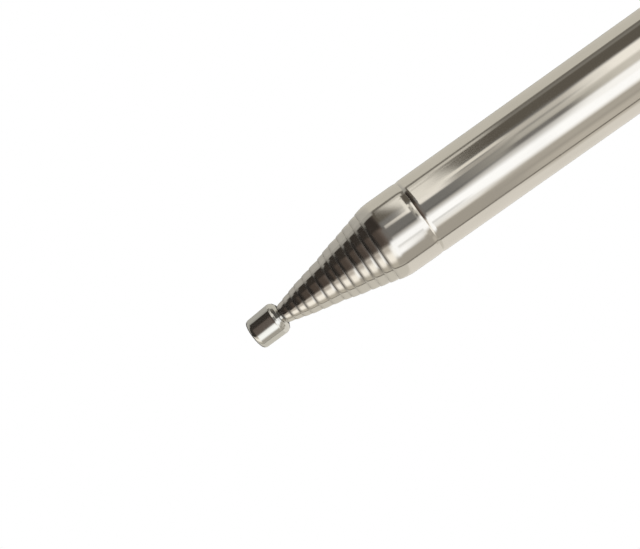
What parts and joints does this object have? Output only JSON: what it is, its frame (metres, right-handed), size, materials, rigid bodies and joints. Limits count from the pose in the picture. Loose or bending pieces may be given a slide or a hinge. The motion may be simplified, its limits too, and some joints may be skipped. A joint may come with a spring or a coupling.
{
  "type": "telescopic antenna",
  "caption": "Bright plated telescopic whip antenna, collapsed, with stepped tube noses, a round tip button and a threaded stud at the base.",
  "frame": {"origin": "on the axis at the seat face of the base plug, where the stud comes out", "axes": "+Z along the antenna from the base to the tip; the stud points along -Z; the wrench flats face +X and -X"},
  "size_m": [0.016, 0.016, 0.2692],
  "materials": {
    "plug": "nickel plated brass, turned",
    "stud": "plain stainless steel thread",
    "outer_tube": "bright plated, faint handling marks",
    "bushing": "plain turned",
    "tubes": "bright plated",
    "rod": "bright plated",
    "button": "bright plated, turned",
    "springs": "phosphor bronze sheet"
  },
  "bodies": {
    "outer": {"base_plug": "plug", "mounting_stud": "stud", "outer_tube": "outer_tube", "guide_bushing": "bushing"},
    "contact_13": {"contact_spring_13": "springs"},
    "section_13": {"tube_13": "tubes"},
    "contact_12": {"contact_spring_12": "springs"},
    "section_12": {"tube_12": "tubes"},
    "contact_11": {"contact_spring_11": "springs"},
    "section_11": {"tube_11": "tubes"},
    "contact_10": {"contact_spring_10": "springs"},
    "section_10": {"tube_10": "tubes"},
    "contact_09": {"contact_spring_09": "springs"},
    "section_09": {"tube_09": "tubes"},
    "contact_08": {"contact_spring_08": "springs"},
    "section_08": {"tube_08": "tubes"},
    "contact_07": {"contact_spring_07": "springs"},
    "section_07": {"tube_07": "tubes"},
    "contact_06": {"contact_spring_06": "springs"},
    "section_06": {"tube_06": "tubes"},
    "contact_05": {"contact_spring_05": "springs"},
    "section_05": {"tube_05": "tubes"},
    "contact_04": {"contact_spring_04": "springs"},
    "section_04": {"tube_04": "tubes"},
    "contact_03": {"contact_spring_03": "springs"},
    "section_03": {"tube_03": "tubes"},
    "contact_02": {"contact_spring_02": "springs"},
    "section_02": {"tube_02": "tubes"},
    "contact_01": {"contact_spring_01": "springs"},
    "rod": {"inner_rod": "rod", "tip_button": "button"}
  },
  "joints": [
    {"name": "slide_13", "type": "slide", "parent": "outer", "child": "contact_13", "axis": [0, 0, 1], "range_m": [0, 0.1929]},
    {"name": "turn_13", "type": "hinge", "parent": "contact_13", "child": "section_13", "pos_m": [0, 0, 0.0204], "axis": [0, 0, 1], "continuous": true},
    {"name": "slide_12", "type": "slide", "parent": "section_13", "child": "contact_12", "axis": [0, 0, 1], "range_m": [0, 0.2009]},
    {"name": "turn_12", "type": "hinge", "parent": "contact_12", "child": "section_12", "pos_m": [0, 0, 0.0246], "axis": [0, 0, 1], "continuous": true},
    {"name": "slide_11", "type": "slide", "parent": "section_12", "child": "contact_11", "axis": [0, 0, 1], "range_m": [0, 0.1986]},
    {"name": "turn_11", "type": "hinge", "parent": "contact_11", "child": "section_11", "pos_m": [0, 0, 0.0288], "axis": [0, 0, 1], "continuous": true},
    {"name": "slide_10", "type": "slide", "parent": "section_11", "child": "contact_10", "axis": [0, 0, 1], "range_m": [0, 0.1961]},
    {"name": "turn_10", "type": "hinge", "parent": "contact_10", "child": "section_10", "pos_m": [0, 0, 0.033], "axis": [0, 0, 1], "continuous": true},
    {"name": "slide_09", "type": "slide", "parent": "section_10", "child": "contact_09", "axis": [0, 0, 1], "range_m": [0, 0.1941]},
    {"name": "turn_09", "type": "hinge", "parent": "contact_09", "child": "section_09", "pos_m": [0, 0, 0.0372], "axis": [0, 0, 1], "continuous": true},
    {"name": "slide_08", "type": "slide", "parent": "section_09", "child": "contact_08", "axis": [0, 0, 1], "range_m": [0, 0.1915]},
    {"name": "turn_08", "type": "hinge", "parent": "contact_08", "child": "section_08", "pos_m": [0, 0, 0.0414], "axis": [0, 0, 1], "continuous": true},
    {"name": "slide_07", "type": "slide", "parent": "section_08", "child": "contact_07", "axis": [0, 0, 1], "range_m": [0, 0.1888]},
    {"name": "turn_07", "type": "hinge", "parent": "contact_07", "child": "section_07", "pos_m": [0, 0, 0.0456], "axis": [0, 0, 1], "continuous": true},
    {"name": "slide_06", "type": "slide", "parent": "section_07", "child": "contact_06", "axis": [0, 0, 1], "range_m": [0, 0.1869]},
    {"name": "turn_06", "type": "hinge", "parent": "contact_06", "child": "section_06", "pos_m": [0, 0, 0.0498], "axis": [0, 0, 1], "continuous": true},
    {"name": "slide_05", "type": "slide", "parent": "section_06", "child": "contact_05", "axis": [0, 0, 1], "range_m": [0, 0.1848]},
    {"name": "turn_05", "type": "hinge", "parent": "contact_05", "child": "section_05", "pos_m": [0, 0, 0.054], "axis": [0, 0, 1], "continuous": true},
    {"name": "slide_04", "type": "slide", "parent": "section_05", "child": "contact_04", "axis": [0, 0, 1], "range_m": [0, 0.1828]},
    {"name": "turn_04", "type": "hinge", "parent": "contact_04", "child": "section_04", "pos_m": [0, 0, 0.0582], "axis": [0, 0, 1], "continuous": true},
    {"name": "slide_03", "type": "slide", "parent": "section_04", "child": "contact_03", "axis": [0, 0, 1], "range_m": [0, 0.1802]},
    {"name": "turn_03", "type": "hinge", "parent": "contact_03", "child": "section_03", "pos_m": [0, 0, 0.0624], "axis": [0, 0, 1], "continuous": true},
    {"name": "slide_02", "type": "slide", "parent": "section_03", "child": "contact_02", "axis": [0, 0, 1], "range_m": [0, 0.1777]},
    {"name": "turn_02", "type": "hinge", "parent": "contact_02", "child": "section_02", "pos_m": [0, 0, 0.0666], "axis": [0, 0, 1], "continuous": true},
    {"name": "slide_01", "type": "slide", "parent": "section_02", "child": "contact_01", "axis": [0, 0, 1], "range_m": [0, 0.175]},
    {"name": "turn_01", "type": "hinge", "parent": "contact_01", "child": "rod", "pos_m": [0, 0, 0.0708], "axis": [0, 0, 1], "continuous": true}
  ]
}
